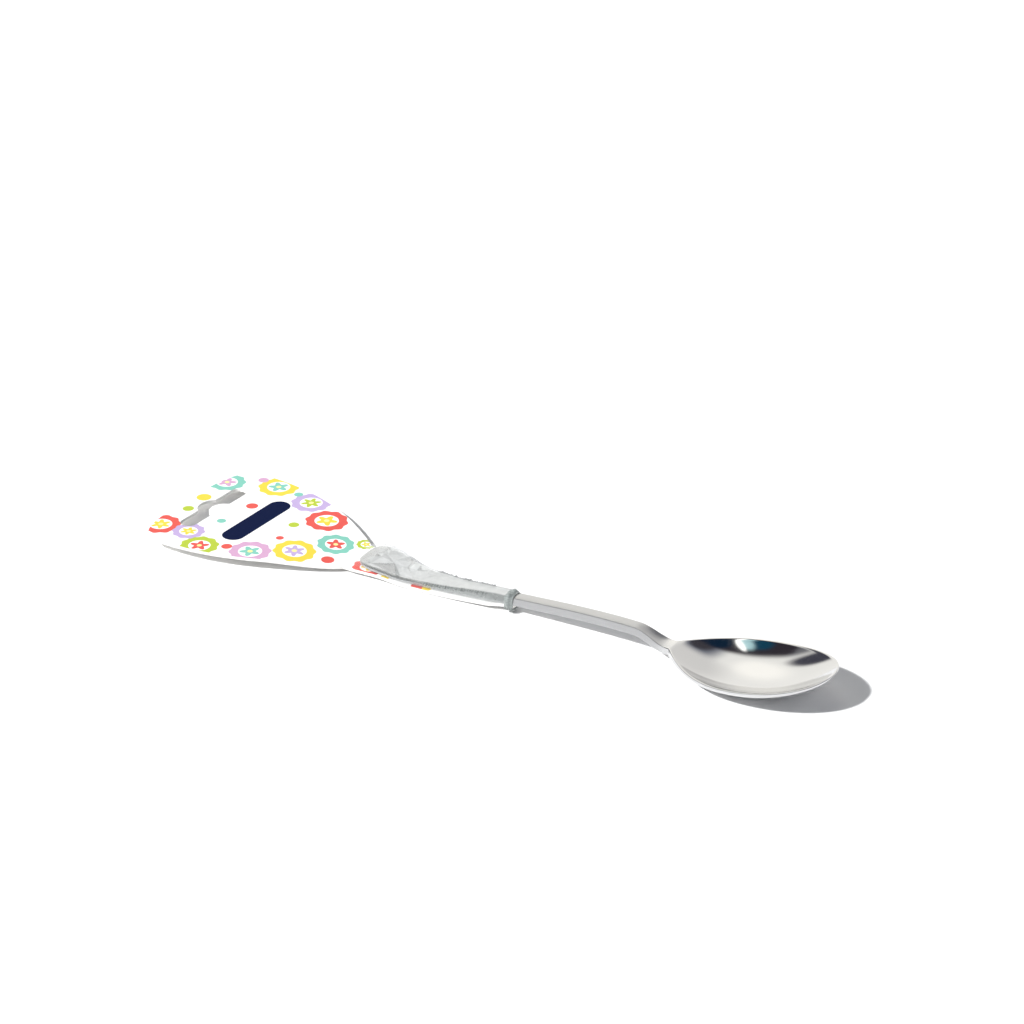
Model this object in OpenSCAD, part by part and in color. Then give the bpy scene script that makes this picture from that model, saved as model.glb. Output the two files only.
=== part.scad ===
// Child's spoon on a printed hang card, held by a clear shrunk-film sleeve.
// X runs from the card to the tip of the bowl, Y across and Z up. It lies on Z = 0.

/* [Spoon] */
// Length of the spoon, from the end of the handle to the tip of the bowl
spoon_len = 140; // [125:1:165]
// Length of the bowl, with the flare of its heel
bowl_len = 45.4; // [40:0.2:54]
// Width of the bowl
bowl_w = 29; // [24:0.5:36]
// Depth of the bowl below its rim
bowl_depth = 4.6; // [4:0.1:8]
// Thickness of the bowl's wall
bowl_wall = 1.0; // [0.8:0.1:1.6]
// Tilt of the rim in degrees, tip upwards
rim_tilt = 7.6; // [2:0.1:10]
// Sag of the rim's sides below the line from heel to tip
rim_sag = 1.4; // [0:0.1:3]
// Width of the neck, where the heel of the bowl begins
neck_w = 5.0; // [3.5:0.1:6]
// Width of the slim shaft
shaft_w = 3.8; // [3:0.1:5]
// Thickness of the shaft
shaft_t = 2.4; // [1.4:0.1:3]
// Width of the flat paddle end
paddle_w = 12.4; // [9:0.2:13]
// Thickness of the paddle end
paddle_t = 1.1; // [0.9:0.1:1.8]
// Distance from the end of the handle to where the paddle is widest
paddle_belly = 6; // [4:0.5:10]
// Distance from the end of the handle to where the paddle has become the shaft
paddle_len = 46.5; // [42:0.5:60]
// Height that the end of the paddle is turned up
turn_up = 0.9; // [0:0.1:1.6]
// Length of the turned-up end
turn_len = 16; // [12:0.5:18]
// Length of the paddle that lies flat behind it
paddle_flat = 4; // [2:0.5:6]
// Height that the tip of the paddle is lifted off the card
tip_lift = 1.1; // [0:0.1:1.8]
// Length of the lifted tip
lift_len = 13; // [8:0.5:16]
// Distance from the heel of the bowl back to the highest point of the handle
crown_back = 10.4; // [5:0.2:16]
// Height of the top of the handle there
crown_h = 7.4; // [6:0.1:12]

/* [Hang card] */
// Length of the card's head, from the end of the handle to its outer edge
head_len = 60.6; // [48:0.2:72]
// Width of the card's head
head_w = 48.4; // [40:0.2:60]
// Length of the head's rounded outer end
head_end = 10.6; // [6:0.2:14]
// Width of the card at its neck
card_neck_w = 13.4; // [12.6:0.2:16]
// Width of the tongue where its round end begins
tongue_end_w = 6.4; // [5:0.2:8]
// Width of the tongue's tip under the band
tongue_tip_w = 3.6; // [3:0.2:4.8]
// Length of the tongue's round end
tongue_round = 6; // [4:0.5:10]
// Thickness of one leaf of the board
leaf_t = 0.42; // [0.3:0.02:0.6]
// Height of the head's underside above the table
head_lift = 2.5; // [0.5:0.1:5]
// Length over which the head rises to that height
head_rise = 6; // [4:1:24]
// Distance from the end of the handle back to the crease in the neck
crease_back = 2.6; // [2:0.2:5]
// Radius of the bead pressed into the board at the crease
crease_bead_r = 0.25; // [0.2:0.01:0.3]

/* [Hang slot] */
// Length of the slot across the card
slot_len = 27; // [22:0.5:32]
// Width of the slot's wings
slot_w = 4.8; // [4.6:0.1:6]
// Distance from the card's outer edge to the middle of the wings
slot_inset = 8.9; // [8:0.1:14]
// Radius of the hump that a hook rests in
hump_r = 5; // [4:0.25:6]
// Height of the hump above the wings
hump_rise = 2; // [1:0.25:3]
// Radius of the round tab between the wings
tab_r = 4.2; // [3:0.2:4.8]
// Height of the tab above the wings' lower edge
tab_rise = 3; // [1:0.25:3.5]

/* [Film sleeve and band] */
// Thickness of the film
film_t = 0.15; // [0.1:0.01:0.3]
// Room between the film and what it wraps
film_gap = 0.1; // [0.05:0.01:0.3]
// Distance that the sleeve runs past the end of the handle
sleeve_over = 0.9; // [0.5:0.1:1.5]
// Distance from the end of the handle to the first shrink rib
rib_start = 22.5; // [20.5:0.5:26]
// Spacing of the shrink ribs along the sleeve's edges
rib_pitch = 1.15; // [0.8:0.05:1.5]
// Number of shrink ribs
rib_count = 9; // [1:1:12]
// Height of the shrink ribs
rib_h = 0.35; // [0.1:0.05:0.5]
// Distance from the end of the handle to the band
band_x = 45.4; // [38:0.2:50]
// Length of the band along the handle
band_len = 2.4; // [2:0.2:6]
// Thickness of the band
band_t = 0.22; // [0.16:0.02:0.5]
// Height of the band's gathered pleats
pleat_h = 0.16; // [0.1:0.02:0.4]

/* [Hidden] */
$fn = 48;

// Room between pieces that lie on each other
fit_gap = 0.04;
// Overrun of every cut
overrun = 5;

// Steel stamping: shape of the outline and of the sections
wide_share = 0.525;
deep_share = 0.54;
heel_ease_share = 0.54;
dish_ease_share = 0.62;
paddle_ease_share = 0.58;
tip_power = 2.15;
paddle_power = 3;
dish_power = 2.2;
edge_power = 4;
ring_sides = 32;
handle_steps = 26;
heel_steps = 22;
tip_steps = 12;

heel_x = spoon_len - bowl_len;
crown_x = heel_x - crown_back;
flat_end_x = turn_len + paddle_flat;
wide_x = heel_x + wide_share * bowl_len;
deep_x = heel_x + deep_share * bowl_len;

// Heights of the stack under the handle
card_z = film_t + film_gap;
seat_z = card_z + 2 * leaf_t + fit_gap;

// The whole part is centred between the card's outer edge and the spoon's tip
middle_x = (spoon_len - head_len) / 2;

function mix(a, b, q) = a + (b - a) * q;
function clamp(q) = max(0, min(1, q));
function ease(q) = let (c = clamp(q)) c * c * (3 - 2 * c);
function between(a, b, x) = (x - a) / (b - a);
function swept(q) = ease(pow(clamp(q), paddle_ease_share));
function round_end(q) = sqrt(1 - pow(1 - clamp(q), 2));
function swell(q, ease_share) = pow(sin(90 * pow(clamp(q), ease_share)), 2);
function taper(q, power) = pow(1 - pow(clamp(q), power), 1 / power);

// Half width of the handle without its rounded end
function handle_half(x) =
    x < crown_x ? mix(paddle_w, shaft_w, swept(between(paddle_belly, paddle_len, x))) / 2
    : mix(shaft_w, neck_w, ease(between(crown_x, heel_x, x))) / 2;

// Half width of the spoon's outline
function spoon_half(x) =
    x < heel_x ? handle_half(x) * taper(1 - x / (paddle_w / 2), paddle_power)
    : x < wide_x ? mix(neck_w, bowl_w, swell(between(heel_x, wide_x, x), heel_ease_share)) / 2
    : bowl_w / 2 * taper(between(wide_x, spoon_len, x), tip_power);

// Thickness of the sheet
function sheet_t(x) =
    x < crown_x ? mix(paddle_t, shaft_t, ease(between(turn_len, paddle_len, x)))
    : mix(shaft_t, bowl_wall, ease(between(crown_x, wide_x, x)));

// Thickness with the two ends rounded off
function spoon_t(x) =
    sheet_t(x) * round_end(x / (paddle_t / 2)) * round_end((spoon_len - x) / (bowl_wall / 2));

// Depth of the dish below the rim along the middle of the bowl
function dish(x) =
    x < heel_x ? 0
    : x < deep_x ? bowl_depth * swell(between(heel_x, deep_x, x), dish_ease_share)
    : bowl_depth * (1 - pow(between(deep_x, spoon_len, x), dish_power));

// Sag of the rim's sides, none at the heel and the tip
function rim_dip(x) =
    rim_sag * (x < wide_x ? swell(between(heel_x, wide_x, x), heel_ease_share)
        : 1 - pow(between(wide_x, spoon_len, x), 2));

// Rise of the rim from the middle of the bowl
function rim_rise(x) = tan(rim_tilt) * (x - wide_x) - rim_dip(x);

// The lowest point of the bowl stands on the table
rim_z = -min([for (x = [heel_x : bowl_wall / 4 : spoon_len]) rim_rise(x) - dish(x) - sheet_t(x) / 2]);

// Line that the handle follows over the card, from its turned-up end and its seat to its highest point
function handle_seat(x) =
    mix(seat_z, crown_h - shaft_t, ease(between(flat_end_x, crown_x, x)))
    + turn_up * (1 - ease(between(paddle_belly, turn_len, x)));

// Underside of the handle, with its tip lifted off the card
function handle_under(x) = handle_seat(x) + tip_lift * (1 - ease(between(0, lift_len, x)));

// Smooth fall from the crown to the rim of the bowl
function neck_mid(x) =
    let (q = clamp(between(crown_x, heel_x, x)))
    let (start = crown_h - shaft_t / 2, end = rim_z + rim_rise(heel_x))
    mix(start, end, ease(q)) + crown_back * tan(rim_tilt) * (q * q * q - q * q);

// Middle of the sheet's thickness along the handle and the rim
function spoon_mid(x) =
    x < crown_x ? handle_under(x) + sheet_t(x) / 2
    : x < heel_x ? neck_mid(x)
    : rim_z + rim_rise(x);

function spoon_ring(x) =
    let (half = spoon_half(x), t = spoon_t(x), deep = dish(x), mid = spoon_mid(x))
    [for (i = [0 : ring_sides - 1])
        let (a = 360 * i / ring_sides, c = abs(cos(a)))
        [x, half * cos(a),
            mid - deep * (1 - pow(c, dish_power)) + sign(sin(a)) * t / 2 * taper(c, edge_power)]];

// Stations along the spoon, closer together at its round ends
function spoon_stations() = concat(
    [for (i = [1 : handle_steps]) crown_x * (1 - cos(90 * i / handle_steps))],
    [for (i = [1 : heel_steps]) mix(crown_x, wide_x, i / heel_steps)],
    [for (i = [1 : tip_steps - 1]) mix(wide_x, spoon_len, sin(90 * i / tip_steps))]);

// Two triangles for each side between neighbouring rings of equal count
function band_faces(first, second, sides) =
    [for (i = [0 : sides - 1])
        let (j = (i + 1) % sides)
        each [[first + i, first + j, second + i], [first + j, second + j, second + i]]];

// Fan of triangles from one point to a ring
function fan_faces(point, ring, sides, flip) =
    [for (i = [0 : sides - 1])
        let (j = (i + 1) % sides)
        flip ? [point, ring + i, ring + j] : [point, ring + j, ring + i]];

module spoon() {
    color("#b9bdc2")
        translate([-middle_x, 0, 0])
            spoon_loft();
}

module spoon_loft() {
    stations = spoon_stations();
    rings = [for (x = stations) spoon_ring(x)];
    count = len(stations);
    tail = [0, 0, spoon_mid(0)];
    tip = [spoon_len, 0, spoon_mid(spoon_len)];
    points = concat([for (ring = rings) each ring], [tail, tip]);
    last = (count - 1) * ring_sides;
    faces = concat(
        [for (i = [0 : count - 2]) each band_faces((i + 1) * ring_sides, i * ring_sides, ring_sides)],
        fan_faces(count * ring_sides, 0, ring_sides, true),
        fan_faces(count * ring_sides + 1, last, ring_sides, false));
    polyhedron(points, faces);
}

// Board: shape of the card's outline and of its side profile
tongue_len = band_x + band_len;
head_end_power = 3.4;
flank_fill_share = 0.9;
flank_steps = 20;
end_steps = 14;
rise_steps = 10;
turn_steps = 8;
profile_steps = 10;
round_steps = 8;

crease_x = -crease_back;
head_flank_x = head_end - head_len;

// The bead lies on the crease, in the middle of the board
crease_z = card_z + turn_up + leaf_t;
// The front tongue reaches half way into the bead, and the back one and the bending head stay clear of it
front_start_x = crease_x + crease_bead_r / 2;
back_start_x = crease_x + crease_bead_r + fit_gap;
head_start_x = crease_x - leaf_t;

round_start_x = band_x - tongue_round;

// Half width of the tongue, drawn in to its tip before the band
function tongue_half(x) =
    mix(card_neck_w, tongue_end_w, clamp(between(0, round_start_x, x))) / 2
    - (tongue_end_w - tongue_tip_w) / 2 * ease(between(round_start_x, band_x, x));

// Underside of the board along the part
function card_under(x) =
    x < crease_x ? mix(card_z + turn_up, head_lift, ease(between(crease_x, crease_x - head_rise, x)))
    : handle_seat(x) - fit_gap - 2 * leaf_t;

function head_outline_side() = concat(
    [for (i = [0 : flank_steps])
        let (q = i / flank_steps, widening = sin(90 * pow(q, flank_fill_share)))
        [mix(head_start_x, head_flank_x, q), mix(card_neck_w, head_w, widening) / 2]],
    [for (i = [1 : end_steps])
        let (a = 90 * i / end_steps)
        [head_flank_x - head_end * pow(sin(a), 2 / head_end_power),
            head_w / 2 * pow(max(0, cos(a)), 2 / head_end_power)]]);

function mirrored(side) = concat(side, [for (i = [len(side) - 1 : -1 : 0]) [side[i][0], -side[i][1]]]);

// Wings, hump and tab of the slot, about the middle of the wings
module hang_slot() {
    translate([slot_inset - head_len, 0]) {
        difference() {
            union() {
                square([slot_w, slot_len - slot_w], center = true);
                for (side = [-1, 1])
                    translate([0, side * (slot_len - slot_w) / 2])
                        circle(d = slot_w);
                translate([hump_r - hump_rise - slot_w / 2, 0])
                    circle(r = hump_r);
            }
            translate([slot_w / 2 - tab_rise + tab_r, 0])
                circle(r = tab_r);
            translate([slot_w / 2, -slot_len / 2])
                square([hump_r + slot_w, slot_len]);
        }
    }
}

module head_plan() {
    difference() {
        polygon(mirrored(head_outline_side()));
        hang_slot();
    }
}

module tongue_plan() {
    polygon(mirrored(concat(
        [[crease_x, card_neck_w / 2], [0, card_neck_w / 2]],
        [for (i = [0 : round_steps])
            let (x = mix(round_start_x, band_x, i / round_steps))
            [x, tongue_half(x)]],
        [[tongue_len, tongue_tip_w / 2]])));
}

// One leaf of board that follows the card's side profile through the given stations
module leaf_strip(stations, below, above) {
    low = [for (x = stations) [x, card_under(x) + below]];
    high = [for (i = [len(stations) - 1 : -1 : 0]) [stations[i], card_under(stations[i]) + above]];
    rotate([90, 0, 0])
        linear_extrude(height = head_w + overrun, center = true)
            polygon(concat(low, high));
}

module head_leaf(below, above) {
    stations = concat(
        [for (i = [0 : rise_steps]) mix(head_start_x, crease_x - head_rise, i / rise_steps)],
        [-head_len - overrun]);
    translate([-middle_x, 0, 0])
        intersection() {
            linear_extrude(height = head_lift + crown_h)
                head_plan();
            leaf_strip(stations, below, above);
        }
}

module tongue_leaf(start_x, below, above) {
    stations = concat(
        [start_x],
        [for (i = [0 : turn_steps]) mix(paddle_belly, turn_len, i / turn_steps)],
        [for (i = [0 : profile_steps]) mix(flat_end_x, tongue_len, i / profile_steps)]);
    translate([-middle_x, 0, 0])
        intersection() {
            linear_extrude(height = head_lift + crown_h)
                tongue_plan();
            leaf_strip(stations, below, above);
        }
}

module card_front_head() {
    color("#fbfaf8")
        head_leaf(leaf_t, 2 * leaf_t);
}

module card_back_head() {
    color("#f1efea")
        head_leaf(0, leaf_t);
}

module card_front_tongue() {
    color("#fbfaf8") {
        tongue_leaf(front_start_x, leaf_t, 2 * leaf_t);
        translate([crease_x - middle_x, 0, crease_z])
            rotate([90, 180 / $fn, 0])
                cylinder(h = card_neck_w - 2 * crease_bead_r, r = crease_bead_r, center = true);
    }
}

module card_back_tongue() {
    color("#f1efea")
        tongue_leaf(back_start_x, 0, leaf_t);
}

// Film: stations and corner rounding of the sleeve, and of the band on it
sleeve_corner_steps = 4;
mouth_steps = 6;
band_corner_steps = 8;
rib_steps = 4;
neck_steps = 10;
band_room = film_gap + film_t + fit_gap;
rib_end = rib_start + rib_count * rib_pitch;
band_steps = 3;
band_stations = [for (i = [0 : band_steps]) band_x + i * band_len / band_steps];

function film_low_half(x) = max(tongue_half(x), handle_half(x) + film_gap);
function film_top(x) = handle_under(x) + sheet_t(x);

// Height of the shrink ribs at a station
function rib_at(x) =
    x < rib_start || x > rib_end ? 0 : rib_h * pow(sin(180 * (x - rib_start) / rib_pitch), 2);

// Half of the outline round tongue and handle: corners under the board, over it and over the handle.
// Each has its place, the angles its rounding runs between, and its share of the ribs.
function film_corners(x) =
    let (low = film_low_half(x), high = handle_half(x), under = card_under(x), board = under + 2 * leaf_t)
    let (lean = atan2(low - high, film_top(x) - board))
    [[low, under, -90, 0, 0], [low, board, 0, lean, 0], [high, film_top(x), lean, 90, 1]];

// One side of the outline, pushed out by a distance, with ribs or with pleats on every other point
function film_side(x, out, rib, pleat, steps) =
    [for (corner = film_corners(x))
        each [for (i = [0 : steps - 1])
            let (a = mix(corner[2], corner[3], i / (steps - 1)))
            let (push = out + rib * corner[4] * pow(cos(a), 2) + pleat * (i % 2))
            [x, corner[0] + push * cos(a), corner[1] + push * sin(a)]]];

function film_ring(x, out, rib, pleat, steps) =
    let (side = film_side(x, out, rib, pleat, steps))
    concat(side, [for (i = [len(side) - 1 : -1 : 0]) [side[i][0], -side[i][1], side[i][2]]]);

// Tube with a wall, from rings of its outside and of its inside
module tube(outside, inside) {
    sides = len(outside[0]);
    count = len(outside);
    points = concat([for (ring = outside) each ring], [for (ring = inside) each ring]);
    hollow = count * sides;
    last = (count - 1) * sides;
    faces = concat(
        [for (i = [0 : count - 2]) each band_faces((i + 1) * sides, i * sides, sides)],
        [for (i = [0 : count - 2]) each band_faces(hollow + i * sides, hollow + (i + 1) * sides, sides)],
        band_faces(0, hollow, sides),
        band_faces(hollow + last, last, sides));
    polyhedron(points, faces);
}

module film_sleeve() {
    stations = concat(
        [for (i = [0 : mouth_steps - 1]) mix(-sleeve_over, paddle_belly, i / mouth_steps)],
        [for (i = [0 : turn_steps]) mix(paddle_belly, turn_len, i / turn_steps)],
        [flat_end_x, rib_start],
        [for (i = [1 : rib_count * rib_steps]) rib_start + i * rib_pitch / rib_steps],
        [for (i = [1 : neck_steps - 1]) mix(rib_end, band_x, i / neck_steps)],
        band_stations);
    color("#dfe6ea", 0.35)
        translate([-middle_x, 0, 0])
            tube(
                [for (x = stations) film_ring(x, film_gap + film_t, rib_at(x), 0, sleeve_corner_steps)],
                [for (x = stations) film_ring(x, film_gap, rib_at(x), 0, sleeve_corner_steps)]);
}

module end_band() {
    color("#cfd6da", 0.5)
        translate([-middle_x, 0, 0])
            tube(
                [for (x = band_stations) film_ring(x, band_room + band_t, 0, pleat_h, band_corner_steps)],
                [for (x = band_stations) film_ring(x, band_room, 0, 0, band_corner_steps)]);
}

spoon();
card_front_head();
card_back_head();
card_front_tongue();
card_back_tongue();
film_sleeve();
end_band();
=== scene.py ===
import math

import bmesh
import bpy
import numpy as np
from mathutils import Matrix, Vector
from mathutils.geometry import delaunay_2d_cdt


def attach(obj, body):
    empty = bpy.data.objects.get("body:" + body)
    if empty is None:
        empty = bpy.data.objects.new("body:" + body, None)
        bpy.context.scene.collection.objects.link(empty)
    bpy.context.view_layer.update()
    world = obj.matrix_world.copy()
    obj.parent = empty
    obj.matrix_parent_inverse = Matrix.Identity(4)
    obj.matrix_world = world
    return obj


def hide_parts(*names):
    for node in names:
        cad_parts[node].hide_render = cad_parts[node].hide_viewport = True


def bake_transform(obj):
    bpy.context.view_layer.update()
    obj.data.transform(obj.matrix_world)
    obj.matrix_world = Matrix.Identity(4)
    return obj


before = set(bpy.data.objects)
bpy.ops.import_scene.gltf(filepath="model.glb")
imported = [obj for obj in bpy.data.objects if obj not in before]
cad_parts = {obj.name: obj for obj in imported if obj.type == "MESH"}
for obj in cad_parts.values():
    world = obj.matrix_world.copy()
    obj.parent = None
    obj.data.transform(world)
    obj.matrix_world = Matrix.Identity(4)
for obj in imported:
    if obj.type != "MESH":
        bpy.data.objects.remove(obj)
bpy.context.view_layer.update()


# Spoon
# One stamping of stainless sheet: shallow oval bowl, stepped neck, slim shaft and a flat, turned-up paddle end.
# Pressed to shape, its edges tumbled round, then polished: a mirror in the bowl, satin on the handle.
# Sizes are in mm, and places along the pack are counted from the handle's end.
MM = 0.001
SPOON_LEN = 140.0
HEAD_LEN = 60.6
MIDDLE_X = (SPOON_LEN - HEAD_LEN) / 2
BOWL_LEN, BOWL_W, BOWL_DEPTH, BOWL_WALL = 45.4, 29.0, 4.6, 1.0
RIM_TILT, RIM_SAG = math.tan(math.radians(7.6)), 1.4
NECK_W, SHAFT_W, SHAFT_T = 5.0, 3.8, 2.4
PADDLE_W, PADDLE_T, PADDLE_BELLY, PADDLE_LEN = 12.4, 1.1, 6.0, 46.5
TURN_UP, TURN_LEN, PADDLE_FLAT = 0.9, 16.0, 4.0
TIP_LIFT, LIFT_LEN = 1.1, 13.0
CROWN_BACK, CROWN_H = 10.4, 7.4
LEAF_T, FILM_T, FILM_GAP, FIT_GAP = 0.42, 0.15, 0.1, 0.04
WIDE_SHARE, DEEP_SHARE = 0.525, 0.54
HEEL_EASE, DISH_EASE, PADDLE_EASE = 0.54, 0.62, 0.58
TIP_POWER, PADDLE_POWER, DISH_POWER = 2.15, 3.0, 2.2
EDGE_R, SHAFT_R, HANDLE_CROWN, SIDE_LEAN = 0.22, 0.1, 0.2, 0.2
EDGE_SHARE, SIDE_SHARE, THINNEST = 0.9, 0.9, 1e-3
RIM_ROLL, RIM_BELLY, BELLY_BACK, BOWL_BLEND_BACK = 1.0, 0.35, 6.0, 12.0
BELLY_START_SHARE, BELLY_RISE_SHARE, BELLY_FULL_SHARE = 0.2, 0.75, 0.8
NECK_GROOVE, GROOVE_BEFORE, GROOVE_AFTER = 0.6, 1.0, 6.0
GROOVE_END_BEFORE, GROOVE_END_AFTER = 4.0, 2.0

HEEL_X = SPOON_LEN - BOWL_LEN
CROWN_X = HEEL_X - CROWN_BACK
WIDE_X = HEEL_X + WIDE_SHARE * BOWL_LEN
DEEP_X = HEEL_X + DEEP_SHARE * BOWL_LEN
FLAT_END_X = TURN_LEN + PADDLE_FLAT
CARD_Z = FILM_T + FILM_GAP
SEAT_Z = CARD_Z + 2 * LEAF_T + FIT_GAP


def mix(a, b, q):
    return a + (b - a) * q


def ease(q):
    q = np.clip(q, 0, 1)
    return q * q * (3 - 2 * q)


def between(a, b, x):
    return (x - a) / (b - a)


def round_end(q):
    return np.sqrt(1 - (1 - np.clip(q, 0, 1)) ** 2)


def swell(q, power):
    return np.sin(math.pi / 2 * np.clip(q, 0, 1) ** power) ** 2


def handle_half(x):
    narrowing = np.clip(between(PADDLE_BELLY, PADDLE_LEN, x), 0, 1) ** PADDLE_EASE
    paddle = mix(PADDLE_W, SHAFT_W, ease(narrowing))
    neck = mix(SHAFT_W, NECK_W, ease(between(CROWN_X, HEEL_X, x)))
    return np.where(x < CROWN_X, paddle, neck) / 2


def spoon_half(x):
    paddle_end = (1 - np.clip(1 - x / (PADDLE_W / 2), 0, 1) ** PADDLE_POWER) ** (1 / PADDLE_POWER)
    heel = mix(NECK_W, BOWL_W, swell(between(HEEL_X, WIDE_X, x), HEEL_EASE)) / 2
    tip = BOWL_W / 2 * (1 - np.clip(between(WIDE_X, SPOON_LEN, x), 0, 1) ** TIP_POWER) ** (1 / TIP_POWER)
    return np.where(x < HEEL_X, handle_half(x) * paddle_end, np.where(x < WIDE_X, heel, tip))


def sheet_t(x):
    handle = mix(PADDLE_T, SHAFT_T, ease(between(TURN_LEN, PADDLE_LEN, x)))
    return np.where(x < CROWN_X, handle, mix(SHAFT_T, BOWL_WALL, ease(between(CROWN_X, WIDE_X, x))))


def dish(x):
    heel = BOWL_DEPTH * swell(between(HEEL_X, DEEP_X, x), DISH_EASE)
    tip = BOWL_DEPTH * (1 - np.clip(between(DEEP_X, SPOON_LEN, x), 0, 1) ** DISH_POWER)
    return np.where(x < DEEP_X, heel, tip)


def rim_rise(x):
    heel = swell(between(HEEL_X, WIDE_X, x), HEEL_EASE)
    tip = 1 - np.clip(between(WIDE_X, SPOON_LEN, x), 0, 1) ** 2
    return RIM_TILT * (x - WIDE_X) - RIM_SAG * np.where(x < WIDE_X, heel, tip)


bowl_x = np.linspace(HEEL_X, SPOON_LEN, 400)
RIM_Z = -np.min(rim_rise(bowl_x) - dish(bowl_x) - sheet_t(bowl_x) / 2)


def handle_seat(x):
    turned = TURN_UP * (1 - ease(between(PADDLE_BELLY, TURN_LEN, x)))
    return mix(SEAT_Z, CROWN_H - SHAFT_T, ease(between(FLAT_END_X, CROWN_X, x))) + turned


def handle_under(x):
    return handle_seat(x) + TIP_LIFT * (1 - ease(between(0, LIFT_LEN, x)))


def spoon_mid(x):
    q = np.clip(between(CROWN_X, HEEL_X, x), 0, 1)
    step = mix(CROWN_H - SHAFT_T / 2, RIM_Z + rim_rise(HEEL_X), ease(q))
    neck = step + CROWN_BACK * RIM_TILT * (q**3 - q**2)
    handle = handle_under(x) + sheet_t(x) / 2
    return np.where(x < CROWN_X, handle, np.where(x < HEEL_X, neck, RIM_Z + rim_rise(x)))


def skin(name, rings, closed=False, tail=None, tip=None):
    """A mesh over rings of equal count in mm: open, closed end to end, or drawn to a point at either end."""
    count, sides = rings.shape[:2]
    points = [tuple(p) for p in rings.reshape(-1, 3) * MM]
    quads = []
    for i in range(count if closed else count - 1):
        a, b = i * sides, (i + 1) % count * sides
        quads += [(a + j, a + (j + 1) % sides, b + (j + 1) % sides, b + j) for j in range(sides)]
    for point, start in ((tail, 0), (tip, (count - 1) * sides)):
        if point is not None:
            points.append(tuple(np.array(point) * MM))
            quads += [(len(points) - 1, start + j, start + (j + 1) % sides) for j in range(sides)]
    mesh = bpy.data.meshes.new(name)
    mesh.from_pydata(points, [], quads)
    outward(mesh)
    mesh.shade_smooth()
    return mesh


def outward(mesh):
    shell = bmesh.new()
    shell.from_mesh(mesh)
    bmesh.ops.recalc_face_normals(shell, faces=shell.faces)
    shell.to_mesh(mesh)
    shell.free()


def piece_of(name, mesh, *materials):
    piece = bpy.data.objects.new(name, mesh)
    bpy.context.scene.collection.objects.link(piece)
    for material in materials:
        mesh.materials.append(material)
    return piece


# Rings along the spoon, each with a flat side of a few points at either edge and an arc of points above and below
SPOON_SIDES, SIDE_POINTS = 160, 7
PADDLE_RINGS, NECK_RINGS, TIP_RINGS = 101, 91, 71
spoon_x = np.concatenate([
    CROWN_X * (1 - np.cos(np.linspace(0, math.pi / 2, PADDLE_RINGS)[1:])),
    np.linspace(CROWN_X, WIDE_X, NECK_RINGS)[1:],
    mix(WIDE_X, SPOON_LEN, np.sin(np.linspace(0, math.pi / 2, TIP_RINGS)[1:-1]))])
over = np.arange(1, SPOON_SIDES // 2) * 2 * math.pi / SPOON_SIDES
up_side = np.linspace(-SIDE_SHARE, SIDE_SHARE, SIDE_POINTS)
turn = np.concatenate([0 * up_side, over, 0 * up_side + math.pi, over + math.pi])
side = np.concatenate([up_side, 0 * over + 1, -up_side, 0 * over - 1])[None, :]
across = np.abs(np.cos(turn))[None, :]
half = spoon_half(spoon_x)[:, None]
thick = sheet_t(spoon_x) * round_end(spoon_x / (PADDLE_T / 2)) * round_end((SPOON_LEN - spoon_x) / RIM_ROLL)
thick = thick[:, None]
shaftward = ease(between(TURN_LEN, PADDLE_LEN, spoon_x))[:, None]
bowlward = ease(between(CROWN_X, WIDE_X - BOWL_BLEND_BACK, spoon_x))[:, None]
tipward = np.clip(between(WIDE_X, SPOON_LEN, spoon_x), 0, 1)[:, None] ** TIP_POWER
rimward = (tipward + (1 - tipward) * across**TIP_POWER) ** (1 / TIP_POWER)
belly = RIM_BELLY * np.sin(math.pi / 2 * np.clip(between(1, BELLY_FULL_SHARE, rimward), 0, 1))
belly = belly * ease(between(BELLY_START_SHARE, BELLY_RISE_SHARE, rimward))
belly = belly * ease(between(HEEL_X, WIDE_X - BELLY_BACK, spoon_x))[:, None] * thick / sheet_t(spoon_x)[:, None]
groove_start = ease(between(CROWN_X - GROOVE_BEFORE, CROWN_X + GROOVE_AFTER, spoon_x))
groove_end = ease(between(HEEL_X - GROOVE_END_BEFORE, HEEL_X + GROOVE_END_AFTER, spoon_x))
groove = NECK_GROOVE * (groove_start * (1 - groove_end))[:, None]
full = thick + belly
edge_r = mix(mix(EDGE_R, SHAFT_R, shaftward), BOWL_WALL / 2, bowlward)
edge_r = np.minimum(edge_r, EDGE_SHARE * np.maximum(full / 2, THINNEST))
edge_w = mix(edge_r, RIM_ROLL, bowlward)
crown = HANDLE_CROWN * (1 - bowlward) * across**2 * thick / SHAFT_T
section = full / 2 - edge_r * (1 - round_end(half * (1 - across) / edge_w)) - crown
hollow = (dish(spoon_x)[:, None] + groove) * (1 - across**DISH_POWER)
spoon_rings = np.stack([
    np.broadcast_to(spoon_x[:, None], section.shape) - MIDDLE_X,
    (half - SIDE_LEAN * shaftward * (1 - bowlward) * side * section) * np.cos(turn)[None, :],
    spoon_mid(spoon_x)[:, None] - hollow - belly / 2 + side * section], axis=2)
spoon_mesh = skin("spoon_steel", spoon_rings,
                  tail=(-MIDDLE_X, 0, float(spoon_mid(0.0))),
                  tip=(SPOON_LEN - MIDDLE_X, 0, float(spoon_mid(SPOON_LEN))))


def paint(code):
    """Linear colour of an sRGB hex value."""
    channels = [int(code[i:i + 2], 16) / 255 for i in (1, 3, 5)]
    return [c / 12.92 if c <= 0.04045 else ((c + 0.055) / 1.055) ** 2.4 for c in channels] + [1.0]


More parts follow.
